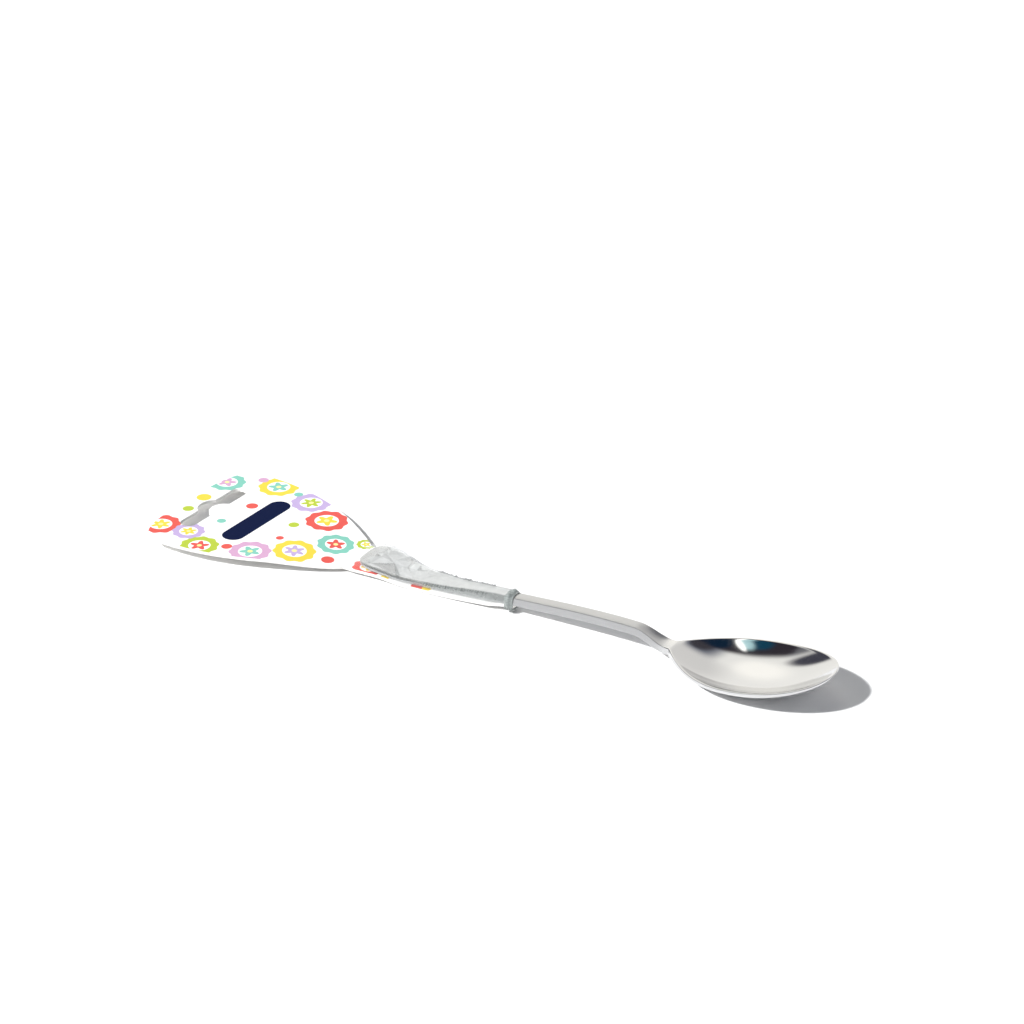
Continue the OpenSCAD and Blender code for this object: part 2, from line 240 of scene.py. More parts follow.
def add(tree, kind, values=None, links=None, **settings):
    """One node with its settings, its sockets' values and what is linked to them."""
    node = tree.nodes.new(kind)
    for name, value in settings.items():
        setattr(node, name, value)
    for socket, value in (values or {}).items():
        node.inputs[socket].default_value = value
    for socket, source in (links or {}).items():
        tree.links.new(source, node.inputs[socket])
    return node


def blank_material(name):
    material = bpy.data.materials.new(name)
    material.use_nodes = True
    material.node_tree.nodes.clear()
    return material, material.node_tree


# Polished stainless steel: a mirror in the bowl, satin on the handle, with faint drag lines of the buffing wheel.
# The lines are about 0.2 mm apart, drawn coarser than real ones so that they show.
steel, tree = blank_material("polished_stainless_steel")
place = add(tree, "ShaderNodeTexCoord")
axes = add(tree, "ShaderNodeSeparateXYZ", links={"Vector": place.outputs["Object"]})
drag = add(tree, "ShaderNodeMapping", {"Scale": (120.0, 5000.0, 5000.0)}, {"Vector": place.outputs["Object"]})
lines = add(tree, "ShaderNodeTexNoise", {"Scale": 1.0, "Detail": 2.0}, {"Vector": drag.outputs["Vector"]})
haze = add(tree, "ShaderNodeTexNoise", {"Scale": 160.0, "Detail": 3.0}, {"Vector": place.outputs["Object"]})
smear = add(tree, "ShaderNodeMath", {1: 0.65}, {0: haze.outputs["Fac"], 2: lines.outputs["Fac"]},
            operation="MULTIPLY_ADD")
mirror = add(tree, "ShaderNodeMapRange", {"From Min": 0.3, "From Max": 1.3, "To Min": 0.06, "To Max": 0.13},
             {"Value": smear.outputs["Value"]})
satin = add(tree, "ShaderNodeMapRange", {"From Min": 0.056, "From Max": 0.050}, {"Value": axes.outputs["X"]},
            interpolation_type="SMOOTHSTEP")
rough = add(tree, "ShaderNodeMath", {1: 0.36}, {0: satin.outputs["Result"], 2: mirror.outputs["Result"]},
            operation="MULTIPLY_ADD")
shine = add(tree, "ShaderNodeMix", {"A": paint("#d3d3d3"), "B": paint("#d0d0d0")},
            {"Factor": satin.outputs["Result"]}, data_type="RGBA")
dent = add(tree, "ShaderNodeBump", {"Strength": 0.012, "Distance": 0.0001}, {"Height": lines.outputs["Fac"]})
metal = add(tree, "ShaderNodeBsdfPrincipled", {"Metallic": 1.0},
            {"Base Color": shine.outputs["Result"], "Roughness": rough.outputs["Value"],
             "Normal": dent.outputs["Normal"]})
add(tree, "ShaderNodeOutputMaterial", links={"Surface": metal.outputs["BSDF"]})

spoon = piece_of("spoon_steel", spoon_mesh, steel)
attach(spoon, "packed_spoon")
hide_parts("spoon")


# Hang card
# Two leaves of white board glued together: the front one printed and lacquered, the back one plain.
# Die-cut in one stroke with its hang slot, creased across the narrow neck, its tongue under the handle.
HEAD_W, HEAD_END, CARD_NECK_W = 48.4, 10.6, 13.4
TONGUE_END_W, TONGUE_TIP_W, TONGUE_ROUND = 6.4, 3.6, 6.0
HEAD_LIFT, HEAD_RISE, HEAD_TWIST, CREASE_BACK = 2.5, 20.0, 0.5, 2.6
SLOT_LEN, SLOT_W, SLOT_INSET = 27.0, 4.8, 8.9
HUMP_R, HUMP_RISE, TAB_R, TAB_RISE = 5.0, 2.0, 4.2, 3.0
BAND_X, BAND_LEN = 45.4, 2.4
TONGUE_LEN, ROUND_START_X = BAND_X + BAND_LEN, BAND_X - TONGUE_ROUND
HEAD_END_POWER, FLANK_FILL = 3.4, 0.9
CREASE_CUTS, TONGUE_CUTS, LAST_CUT_BACK = 37, 24, 1.0
WING_POINTS, BULGE_POINTS = 17, 21


def tongue_half(x):
    straight = mix(CARD_NECK_W, TONGUE_END_W, np.clip(between(0, ROUND_START_X, x), 0, 1)) / 2
    return straight - (TONGUE_END_W - TONGUE_TIP_W) / 2 * ease(between(ROUND_START_X, BAND_X, x))


def card_under(x):
    head = mix(CARD_Z + TURN_UP, HEAD_LIFT, ease(between(-CREASE_BACK, -CREASE_BACK - HEAD_RISE, x)))
    return np.where(x < -CREASE_BACK, head, handle_seat(x) - FIT_GAP - 2 * LEAF_T)


def card_outline():
    """The card's edge, from the tongue's end round the head and back, in mm from the handle's end."""
    flank = np.linspace(0, 1, 41)
    flank_x = mix(-CREASE_BACK - LEAF_T, HEAD_END - HEAD_LEN, flank)
    flank_y = mix(CARD_NECK_W, HEAD_W, np.sin(math.pi / 2 * flank**FLANK_FILL)) / 2
    corner = np.linspace(0, math.pi / 2, 37)[1:]
    end_x = HEAD_END - HEAD_LEN - HEAD_END * np.sin(corner) ** (2 / HEAD_END_POWER)
    end_y = HEAD_W / 2 * np.maximum(np.cos(corner), 0) ** (2 / HEAD_END_POWER)
    tongue_x = (TONGUE_LEN, *np.linspace(BAND_X, ROUND_START_X, 13), 0.0)
    side = [(x, float(tongue_half(x))) for x in tongue_x]
    side += list(zip(flank_x, flank_y)) + list(zip(end_x, end_y))
    return side + [(x, -y) for x, y in reversed(side) if y > 1e-3]


def slot_outline():
    """The hang slot's edge: two wings with round ends, a hump on the outer side, a round tab on the inner one."""
    middle = SLOT_INSET - HEAD_LEN
    wing = (SLOT_LEN - SLOT_W) / 2
    hump_x, tab_x = HUMP_R - HUMP_RISE - SLOT_W / 2, SLOT_W / 2 - TAB_RISE + TAB_R
    hump_a = math.acos((-SLOT_W / 2 - hump_x) / HUMP_R)
    tab_a = math.acos((SLOT_W / 2 - tab_x) / TAB_R)
    edge = []
    for x, y, radius, start, end, count in (
            (0, wing, SLOT_W / 2, 0, math.pi, WING_POINTS),
            (hump_x, 0, HUMP_R, hump_a, 2 * math.pi - hump_a, BULGE_POINTS),
            (0, -wing, SLOT_W / 2, math.pi, 2 * math.pi, WING_POINTS),
            (tab_x, 0, TAB_R, 2 * math.pi - tab_a, tab_a, BULGE_POINTS)):
        for a in np.linspace(start, end, count):
            edge.append((middle + (x + radius * math.cos(a)), y + radius * math.sin(a)))
    return edge


def leaf(name, below):
    """One leaf of the card as a mesh that follows the card's side profile, its flat place kept as an attribute."""
    shell = bmesh.new()
    edges = []
    for loop in (card_outline(), slot_outline()):
        corners = [shell.verts.new((x, y, 0)) for x, y in loop]
        edges += [shell.edges.new((corners[i - 1], corners[i])) for i in range(len(corners))]
    bmesh.ops.triangle_fill(shell, use_beauty=True, edges=edges)
    for cut in np.concatenate([np.linspace(-CREASE_BACK - HEAD_RISE, 0, CREASE_CUTS),
                               np.linspace(PADDLE_BELLY, TONGUE_LEN - LAST_CUT_BACK, TONGUE_CUTS)]):
        bmesh.ops.bisect_plane(shell, geom=list(shell.verts) + list(shell.edges) + list(shell.faces),
                               plane_co=(cut, 0, 0), plane_no=(1, 0, 0), dist=1e-4)
    flat = shell.verts.layers.float_vector.new("flat")
    for vert in shell.verts:
        vert[flat] = (vert.co.x - MIDDLE_X, vert.co.y, 0)
    top = bmesh.ops.extrude_face_region(shell, geom=list(shell.faces))["geom"]
    lifted = {v for v in top if isinstance(v, bmesh.types.BMVert)}
    upper = {f for f in top if isinstance(f, bmesh.types.BMFace)}
    for vert in shell.verts:
        risen = ease(between(-CREASE_BACK, -CREASE_BACK - HEAD_RISE, vert.co.x))
        twist = HEAD_TWIST * vert.co.y / (HEAD_W / 2) * risen
        height = float(card_under(vert.co.x) - twist) + below + (LEAF_T if vert in lifted else 0)
        vert.co = Vector((vert.co.x - MIDDLE_X, vert.co.y, height)) * MM
    for face in shell.faces:
        face.material_index = 0 if face in upper else 1
    bmesh.ops.recalc_face_normals(shell, faces=shell.faces)
    mesh = bpy.data.meshes.new(name)
    shell.to_mesh(mesh)
    shell.free()
    mesh.shade_smooth()
    mesh.set_sharp_from_angle(angle=math.radians(35))
    return mesh


# Uncoated white board: cut edges and back, with fibre mottling of about 0.3 mm and a dry, matte face.
board, tree = blank_material("white_board")
place = add(tree, "ShaderNodeTexCoord")
fibre = add(tree, "ShaderNodeTexNoise", {"Scale": 3000.0, "Detail": 4.0}, {"Vector": place.outputs["Object"]})
tone = add(tree, "ShaderNodeMix", {"A": paint("#f3f1ec"), "B": paint("#fbfaf7")}, {"Factor": fibre.outputs["Fac"]},
           data_type="RGBA")
grain = add(tree, "ShaderNodeBump", {"Strength": 0.15, "Distance": 0.00005}, {"Height": fibre.outputs["Fac"]})
dry = add(tree, "ShaderNodeBsdfPrincipled", {"Roughness": 0.8},
          {"Base Color": tone.outputs["Result"], "Normal": grain.outputs["Normal"]})
add(tree, "ShaderNodeOutputMaterial", links={"Surface": dry.outputs["BSDF"]})

# Printed board: offset print of a nursery pattern on white, under a thin satin lacquer.
# The lacquer follows the board's grain of about 0.4 mm.
printed, tree = blank_material("printed_lacquered_board")

# One motif of the print: a wavy disc of ink laid over the ground
motif = bpy.data.node_groups.new("print_motif", "ShaderNodeTree")
for name, kind in (("Ground", "NodeSocketColor"), ("Place", "NodeSocketVector"), ("Centre", "NodeSocketVector"),
                   ("Radius", "NodeSocketFloat"), ("Petals", "NodeSocketFloat"), ("Depth", "NodeSocketFloat"),
                   ("Turn", "NodeSocketFloat"), ("Ink", "NodeSocketColor")):
    motif.interface.new_socket(name, in_out="INPUT", socket_type=kind)
motif.interface.new_socket("Colour", in_out="OUTPUT", socket_type="NodeSocketColor")
given = add(motif, "NodeGroupInput")
offset = add(motif, "ShaderNodeVectorMath", links={0: given.outputs["Place"], 1: given.outputs["Centre"]},
             operation="SUBTRACT")
reach = add(motif, "ShaderNodeVectorMath", links={0: offset.outputs["Vector"]}, operation="LENGTH")
axes = add(motif, "ShaderNodeSeparateXYZ", links={"Vector": offset.outputs["Vector"]})
angle = add(motif, "ShaderNodeMath", links={0: axes.outputs["Y"], 1: axes.outputs["X"]}, operation="ARCTAN2")
turned = add(motif, "ShaderNodeMath", links={0: angle.outputs["Value"], 1: given.outputs["Turn"]}, operation="ADD")
phase = add(motif, "ShaderNodeMath", links={0: turned.outputs["Value"], 1: given.outputs["Petals"]},
            operation="MULTIPLY")
wave = add(motif, "ShaderNodeMath", links={0: phase.outputs["Value"]}, operation="COSINE")
bulge = add(motif, "ShaderNodeMath", {2: 1.0}, {0: wave.outputs["Value"], 1: given.outputs["Depth"]},
            operation="MULTIPLY_ADD")
edge = add(motif, "ShaderNodeMath", links={0: bulge.outputs["Value"], 1: given.outputs["Radius"]},
           operation="MULTIPLY")
inside = add(motif, "ShaderNodeMath", links={0: edge.outputs["Value"], 1: reach.outputs["Value"]},
             operation="SUBTRACT")
cover = add(motif, "ShaderNodeMapRange", {"From Min": -0.04, "From Max": 0.04}, {"Value": inside.outputs["Value"]})
inked = add(motif, "ShaderNodeMix", links={"Factor": cover.outputs["Result"], "A": given.outputs["Ground"],
                                           "B": given.outputs["Ink"]}, data_type="RGBA")
add(motif, "NodeGroupOutput", links={"Colour": inked.outputs["Result"]})

CORAL, TEAL, LAVENDER, YELLOW = "#e05f57", "#86c8b7", "#c0acd6", "#f0d34f"
LIME, MAUVE, CREAM, WHITE, NAVY = "#b5c747", "#d2a6c6", "#f9eda0", "#fefefd", "#01123a"
# Each rosette: centre and radius in mm, its ink, and the petals, turn in degrees and ink of the flower in it
ROSETTES = [
    (-51.0, 1.5, 5.0, TEAL, 5, 20, CORAL), (-57.5, -8.6, 5.7, YELLOW, 6, 0, LAVENDER),
    (-60.5, 10.6, 5.8, CORAL, 5, 50, YELLOW), (-67.0, -15.8, 5.6, MAUVE, 5, 0, TEAL),
    (-70.5, 17.2, 5.5, LAVENDER, 6, 15, LIME), (-80.5, -20.6, 5.2, LIME, 5, 30, CORAL),
    (-84.0, 20.3, 5.6, YELLOW, 5, 10, TEAL), (-97.2, -16.2, 5.4, CORAL, 6, 0, YELLOW),
    (-98.0, 14.8, 5.2, TEAL, 5, 40, MAUVE), (-88.2, -15.4, 4.4, LAVENDER, 6, 10, YELLOW),
    (-36.5, -3.2, 4.6, CORAL, 5, 0, YELLOW), (-44.5, 6.6, 2.6, LIME, 5, 0, YELLOW)]
# Each dot: centre and radius in mm, and its ink
DOTS = [
    (-83.0, 6.5, 1.7, CORAL), (-84.5, -5.5, 1.3, TEAL), (-66.5, 3.5, 1.5, LIME), (-65.0, -5.0, 1.1, CORAL),
    (-76.5, 19.5, 1.3, TEAL), (-74.0, -17.0, 1.5, CORAL), (-96.8, -4.5, 1.6, LIME), (-97.5, 3.5, 2.1, YELLOW),
    (-90.2, 21.5, 1.5, MAUVE), (-48.0, -6.5, 1.8, CORAL), (-20.5, -4.0, 1.9, CORAL), (-17.8, -3.8, 1.3, YELLOW),
    (-30.0, -5.8, 1.2, YELLOW)]
# A rosette is a scalloped disc with a white eye, a flower in the eye and a cream heart, as shares of its radius
EYE_SHARE, FLOWER_SHARE, HEART_SHARE = 0.58, 0.4, 0.13
SCALLOPS, SCALLOP_DEPTH, PETAL_DEPTH = 10, 0.045, 0.3
# Each layer of the print: centre, radius, waves of its edge and their depth, turn in degrees, ink
PRINT = []
for x, y, radius, ink, petals, degrees, flower in ROSETTES:
    PRINT += [(x, y, radius, SCALLOPS, SCALLOP_DEPTH, degrees, ink), (x, y, radius * EYE_SHARE, 5, 0.0, 0, WHITE),
              (x, y, radius * FLOWER_SHARE, petals, PETAL_DEPTH, degrees, flower),
              (x, y, radius * HEART_SHARE, 5, 0.0, 0, CREAM)]
PRINT += [(x, y, radius, 5, 0.0, 0, ink) for x, y, radius, ink in DOTS]

spot = add(tree, "ShaderNodeAttribute", attribute_name="flat")
source = None
for x, y, radius, petals, depth, degrees, ink in PRINT:
    values = {"Centre": (x, y, 0), "Radius": radius, "Petals": petals, "Depth": depth,
              "Turn": math.radians(degrees), "Ink": paint(ink)}
    links = {"Place": spot.outputs["Vector"]}
    if source is None:
        values["Ground"] = paint(WHITE)
    else:
        links["Ground"] = source
    source = add(tree, "ShaderNodeGroup", values, links, node_tree=motif).outputs["Colour"]
# The label bar: a navy lozenge with round ends across the card
LABEL_X, LABEL_HALF, LABEL_R, LABEL_SOFT = -76.6, 10.4, 3.2, 0.04
label = add(tree, "ShaderNodeVectorMath", {1: (LABEL_X, 0, 0)}, {0: spot.outputs["Vector"]}, operation="SUBTRACT")
core = add(tree, "ShaderNodeVectorMath", {1: (0, -LABEL_HALF, 0)}, {0: label.outputs["Vector"]},
           operation="MAXIMUM")
core = add(tree, "ShaderNodeVectorMath", {1: (0, LABEL_HALF, 0)}, {0: core.outputs["Vector"]},
           operation="MINIMUM")
from_core = add(tree, "ShaderNodeVectorMath", links={0: label.outputs["Vector"], 1: core.outputs["Vector"]},
                operation="DISTANCE")
bar = add(tree, "ShaderNodeMapRange", {"From Min": LABEL_R + LABEL_SOFT, "From Max": LABEL_R - LABEL_SOFT},
          {"Value": from_core.outputs["Value"]})
barred = add(tree, "ShaderNodeMix", {"B": paint(NAVY)}, {"Factor": bar.outputs["Result"], "A": source},
             data_type="RGBA")
fibre = add(tree, "ShaderNodeTexNoise", {"Scale": 2.5, "Detail": 4.0}, {"Vector": spot.outputs["Vector"]})
grain = add(tree, "ShaderNodeBump", {"Strength": 0.05, "Distance": 0.00005}, {"Height": fibre.outputs["Fac"]})
sheen = add(tree, "ShaderNodeMapRange", {"To Min": 0.42, "To Max": 0.55}, {"Value": fibre.outputs["Fac"]})
lacquer = add(tree, "ShaderNodeBsdfPrincipled", {"IOR": 1.5, "Specular IOR Level": 0.02},
              {"Base Color": barred.outputs["Result"], "Roughness": sheen.outputs["Result"],
               "Normal": grain.outputs["Normal"]})
add(tree, "ShaderNodeOutputMaterial", links={"Surface": lacquer.outputs["BSDF"]})

card_front = piece_of("card_front_leaf", leaf("card_front_leaf", LEAF_T), printed, board)
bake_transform(card_front)
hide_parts("card_front_head", "card_front_tongue")
card_back = piece_of("card_back_leaf", leaf("card_back_leaf", 0.0), board, board)
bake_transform(card_back)
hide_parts("card_back_head", "card_back_tongue")


# Film sleeve
# A tube of clear shrink film round the tongue and the paddle end, heated until it drew tight and crumpled.
# Small shrink ribs stand along both edges of the handle where the tube narrows.
SLEEVE_OVER, SLEEVE_SLACK, SLEEVE_WALL = 0.9, 0.05, 0.1
RIB_START, RIB_PITCH, RIB_COUNT = 21.0, 0.8, 20
CRUMPLE_H, FINE_SHARE, CALM_SHARE = 0.5, 0.25, 0.25
COARSE_SEED, COARSE_SPACING, FINE_SEED, FINE_SPACING, SHEET_MARGIN = 11, 2.6, 23, 1.2, 3
CRUMPLE_IN, CRUMPLE_CALM, CRUMPLE_OUT = (1.0, 5.0), (16.0, 30.0), (42.0, 45.0)


def wrap(x, out, soft=0.0):
    """Outline of a film round tongue and handle at each station, pushed out, its corners rounded by soft as well.

    Gives its points, its normals and the distance from the top's middle.
    """
    low, high = np.maximum(tongue_half(x), handle_half(x) + FILM_GAP) - soft, handle_half(x) - soft
    under, top = card_under(x) + soft, handle_under(x) + sheet_t(x) - soft
    over = card_under(x) + 2 * LEAF_T
    out = out + soft
    lean = np.arctan2(low - high, top - over)
    right = math.pi / 2
    side = [(high * (1 - q), top, right + 0 * x) for q in np.linspace(1, 0, 20)]
    side += [(high, top, mix(right, lean, q)) for q in np.linspace(0, 1, 6)[1:]]
    side += [(mix(high, low, q), mix(top, over, q), lean) for q in np.linspace(0, 1, 12)[1:]]
    side += [(low, over, mix(lean, 0, q)) for q in np.linspace(0, 1, 5)[1:]]
    side += [(low, under, mix(0, -right, q) + 0 * x) for q in np.linspace(0, 1, 6)]
    side += [(low * (1 - q), under, -right + 0 * x) for q in np.linspace(0, 1, 9)[1:]]
    y, z, a = (np.stack([np.broadcast_to(part[i], x.shape) for part in side], axis=1) for i in range(3))
    along = np.broadcast_to(x[:, None], y.shape) - MIDDLE_X
    points = np.stack([along, y + out * np.cos(a), z + out * np.sin(a)], axis=2)
    normals = np.stack([0 * a, np.cos(a), np.sin(a)], axis=2)
    steps = np.linalg.norm(np.diff(points, axis=1), axis=2)
    reach = np.cumsum(np.concatenate([np.zeros((len(x), 1)), steps], axis=1), axis=1)
    flip = np.array([1, -1, 1])
    points = np.concatenate([points, points[:, -2:0:-1] * flip], axis=1)
    normals = np.concatenate([normals, normals[:, -2:0:-1] * flip], axis=1)
    return points, normals, np.concatenate([reach, -reach[:, -2:0:-1]], axis=1)


def crumple(x, s, seed, spacing):
    """Heights from 0 to 1 of a creased sheet, random corners joined by flat facets, and a tone for each facet."""
    chance = np.random.default_rng(seed)
    near, far = SHEET_MARGIN, 3 * SHEET_MARGIN
    count = int((np.ptp(x) + 2 * near) * (np.ptp(s) + 2 * near) / spacing**2)
    corners = chance.uniform((x.min() - near, s.min() - near), (x.max() + near, s.max() + near), (count, 2))
    corners = np.concatenate([corners, [(x.min() - far, s.min() - far), (x.max() + far, s.min() - far),
                                        (x.max() + far, s.max() + far), (x.min() - far, s.max() + far)]])
    rise = chance.uniform(0, 1, len(corners))
    nodes, _, facets, *_ = delaunay_2d_cdt([Vector(c) for c in corners], [], [], 0, 1e-6)
    height, tone = np.zeros(x.shape), np.zeros(x.shape)
    for facet in facets:
        a, b, c = (np.array(nodes[i]) for i in facet)
        area = (b[0] - a[0]) * (c[1] - a[1]) - (c[0] - a[0]) * (b[1] - a[1])
        if abs(area) < 1e-9:
            continue
        wb = ((x - a[0]) * (c[1] - a[1]) - (c[0] - a[0]) * (s - a[1])) / area
        wc = ((b[0] - a[0]) * (s - a[1]) - (x - a[0]) * (b[1] - a[1])) / area
        within = (wb >= 0) & (wc >= 0) & (wb + wc <= 1)
        facet_h = rise[facet[1]] * wb + rise[facet[2]] * wc + rise[facet[0]] * (1 - wb - wc)
        height[within] = facet_h[within]
        tone[within] = chance.uniform()
    return height, tone


sleeve_x = np.concatenate([np.linspace(-SLEEVE_OVER, CRUMPLE_CALM[1], 150),
                           np.linspace(CRUMPLE_CALM[1], BAND_X + BAND_LEN / 2, 60)[1:]])
points, normals, reach = wrap(sleeve_x, FILM_GAP + SLEEVE_SLACK)
far_x = np.broadcast_to(sleeve_x[:, None], reach.shape)
upper = ease(between(0.0, 0.5, normals[:, :, 2]))
strength = ease(between(*CRUMPLE_IN, far_x)) * mix(1.0, CALM_SHARE, ease(between(*CRUMPLE_CALM, far_x)))
strength = strength * (1 - ease(between(*CRUMPLE_OUT, far_x)))
coarse, facet = crumple(far_x, reach, COARSE_SEED, COARSE_SPACING)
fine, _ = crumple(far_x, reach, FINE_SEED, FINE_SPACING)
creased = (1 - FINE_SHARE) * coarse + FINE_SHARE * fine
stand_off = (CRUMPLE_H * creased * strength * upper)[:, :, None] * normals
sleeve_rings = np.concatenate([points + stand_off + SLEEVE_WALL * normals, (points + stand_off)[::-1]])
sleeve_mesh = skin("film_sleeve_clear", sleeve_rings, closed=True)

# Where the film clouds and how light it is: a pale haze on the handle, its facets lit at random as painted
# reflection, and painted shade, a darker grey, in the creases and on the side walls, strongest on the narrow part
HAZE_LEAST, HAZE_FLAT, PAINTED_FACET_SHEEN, HAZE_NARROW, PAINTED_CREASE_HAZE = 0.02, 0.16, 0.40, 0.34, 0.2
PAINTED_WALL_HAZE, PAINTED_WALL_SHADE, PAINTED_CREASE_SHADE, CREASE_GAIN = (0.1, 0.5), 0.8, 0.7, 5
NARROW_IN, NARROW_OUT = (14, 25), (46, 48)
around = coarse[2:, 1:-1] + coarse[:-2, 1:-1] + coarse[1:-1, 2:] + coarse[1:-1, :-2]
ridge = np.abs(around - 4 * coarse[1:-1, 1:-1])
ridge = np.clip(np.pad(ridge, 1, mode="edge") * strength * upper * CREASE_GAIN, 0, 1)
over_edge = np.abs(reach) - handle_half(far_x)
on_top = 1 - ease(between(-0.5, 0.1, over_edge))
wall = ease(between(-0.4, 0.1, over_edge)) * (1 - ease(between(0.7, 1.1, over_edge / sheet_t(far_x))))
narrow = ease(between(*NARROW_IN, far_x)) * (1 - ease(between(*NARROW_OUT, far_x)))
# Painted reflection: each facet on the handle is made lighter by a random share, as if it caught the light
pale = mix(HAZE_FLAT + PAINTED_FACET_SHEEN * facet * strength, HAZE_NARROW, narrow)
# Painted shade: the creases and the side walls are clouded more and given a darker grey, so that this shade shows
haze_painted_shade_and_sheen = np.clip(HAZE_LEAST + (pale + PAINTED_CREASE_HAZE * ridge) * on_top + mix(*PAINTED_WALL_HAZE, narrow) * wall, 0, 1)
painted_lightness = np.clip(1 - PAINTED_CREASE_SHADE * ridge * on_top - PAINTED_WALL_SHADE * wall, 0, 1)
for name, values in (("haze_painted_shade_and_sheen", haze_painted_shade_and_sheen), ("painted_lightness", painted_lightness)):
    both = np.concatenate([values, values[::-1]]).ravel()
    sleeve_mesh.attributes.new(name, "FLOAT", "POINT").data.foreach_set("value", both.astype(np.float32))

# Clear shrink film: thin polyolefin, nearly colourless, with a wet gloss and a haze, and painted shade, a dark
# grey, in its creases, on its side walls and on its ribs.
film, tree = blank_material("clear_shrink_film")
place = add(tree, "ShaderNodeTexCoord")
cloudy = add(tree, "ShaderNodeAttribute", attribute_name="haze_painted_shade_and_sheen")
haze = add(tree, "ShaderNodeTexNoise", {"Scale": 350.0, "Detail": 2.0}, {"Vector": place.outputs["Object"]})
patchy = add(tree, "ShaderNodeMapRange", {"From Min": 0.3, "From Max": 0.7, "To Min": 0.9, "To Max": 1.1},
             {"Value": haze.outputs["Fac"]})
veil = add(tree, "ShaderNodeMath", links={0: cloudy.outputs["Fac"], 1: patchy.outputs["Result"]},
           operation="MULTIPLY", use_clamp=True)
painted_lightness_read = add(tree, "ShaderNodeAttribute", attribute_name="painted_lightness")
# Painted shade: dark grey where the film's lightness attribute is low, near white elsewhere
shade = add(tree, "ShaderNodeMix", {"A": paint("#727876"), "B": paint("#f2f4f3")},
            {"Factor": painted_lightness_read.outputs["Fac"]}, data_type="RGBA")
gloss = add(tree, "ShaderNodeBsdfPrincipled", {"Roughness": 0.28, "IOR": 1.5, "Specular IOR Level": 0.3},
            {"Base Color": shade.outputs["Result"], "Alpha": veil.outputs["Value"]})
add(tree, "ShaderNodeOutputMaterial", links={"Surface": gloss.outputs["BSDF"]})

sleeve = piece_of("film_sleeve_clear", sleeve_mesh, film)
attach(sleeve, "packed_spoon")
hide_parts("film_sleeve")

# The ribs follow the handle's two upper edges: one small fold at each step, on a path along the edge.
rib_x = np.linspace(RIB_START, RIB_START + RIB_PITCH * (RIB_COUNT + 3), 40)
rib_path = bpy.data.meshes.new("rib_path")
edge_points = [(x - MIDDLE_X, side * (handle_half(x) + FILM_GAP), handle_under(x) + sheet_t(x))
               for side in (-1, 1) for x in rib_x]
rib_path.from_pydata([tuple(np.array(p, dtype=float) * MM) for p in edge_points],
                     [(i, i + 1) for i in range(len(edge_points) - 1) if i != len(rib_x) - 1], [])


def folds_along(name, path, material, inputs):
    """A plain mesh of small folds set along a path by Geometry Nodes; inputs are the tree's named sizes."""
    tree = bpy.data.node_groups.new(name, "GeometryNodeTree")
    tree.interface.new_socket("Path", in_out="INPUT", socket_type="NodeSocketGeometry")
    for label, kind in (("Spacing", "NodeSocketFloat"), ("Fold", "NodeSocketVector"),
                        ("Unevenness", "NodeSocketFloat"), ("Seed", "NodeSocketInt")):
        tree.interface.new_socket(label, in_out="INPUT", socket_type=kind)
    tree.interface.new_socket("Folds", in_out="OUTPUT", socket_type="NodeSocketGeometry")
    given = add(tree, "NodeGroupInput")
    line = add(tree, "GeometryNodeMeshToCurve", links={"Mesh": given.outputs["Path"]})
    steps = add(tree, "GeometryNodeCurveToPoints",
                links={"Curve": line.outputs["Curve"], "Length": given.outputs["Spacing"]}, mode="LENGTH")
    ball = add(tree, "GeometryNodeMeshUVSphere", {"Segments": 16, "Rings": 10, "Radius": 1.0})
    least = add(tree, "ShaderNodeMath", {0: 1.0}, {1: given.outputs["Unevenness"]}, operation="SUBTRACT")
    chance = add(tree, "FunctionNodeRandomValue", {"Max": 1.0},
                 {"Min": least.outputs["Value"], "Seed": given.outputs["Seed"]}, data_type="FLOAT")
    size = add(tree, "ShaderNodeVectorMath", links={0: given.outputs["Fold"], "Scale": chance.outputs["Value"]},
               operation="SCALE")
    placed = add(tree, "GeometryNodeInstanceOnPoints",
                 links={"Points": steps.outputs["Points"], "Instance": ball.outputs["Mesh"],
                        "Rotation": steps.outputs["Rotation"], "Scale": size.outputs["Vector"]})
    real = add(tree, "GeometryNodeRealizeInstances", links={"Geometry": placed.outputs["Instances"]})
    smooth = add(tree, "GeometryNodeSetShadeSmooth", links={"Geometry": real.outputs["Geometry"]})
    dressed = add(tree, "GeometryNodeSetMaterial", {"Material": material},
                  {"Geometry": smooth.outputs["Geometry"]})
    add(tree, "NodeGroupOutput", links={"Folds": dressed.outputs["Geometry"]})
    carrier = piece_of(name, path)
    builder = carrier.modifiers.new("folds", "NODES")
    builder.node_group = tree
    for item in tree.interface.items_tree:
        if item.in_out == "INPUT" and item.name in inputs:
            builder[item.identifier] = inputs[item.name]
    bpy.context.view_layer.update()
    mesh = bpy.data.meshes.new_from_object(carrier.evaluated_get(bpy.context.evaluated_depsgraph_get()))
    bpy.data.objects.remove(carrier)
    mesh.name = name
    return mesh


RIB_SIZE = (0.9 * MM, 0.5 * MM, 0.2 * MM)
# The ribs are painted a darker grey, as the shade in their folds, and clouded so that this shade shows
RIB_CLOUD, RIB_PAINTED_LIGHTNESS = 0.6, 0.35
rib_mesh = folds_along("sleeve_ribs", rib_path, film,
                       {"Spacing": RIB_PITCH * MM, "Fold": RIB_SIZE, "Unevenness": 0.5, "Seed": 5})
for name, value in (("haze_painted_shade_and_sheen", RIB_CLOUD), ("painted_lightness", RIB_PAINTED_LIGHTNESS)):
    even = np.full(len(rib_mesh.vertices), value, np.float32)
    rib_mesh.attributes.new(name, "FLOAT", "POINT").data.foreach_set("value", even)
ribs = piece_of("sleeve_ribs", rib_mesh)
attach(ribs, "packed_spoon")


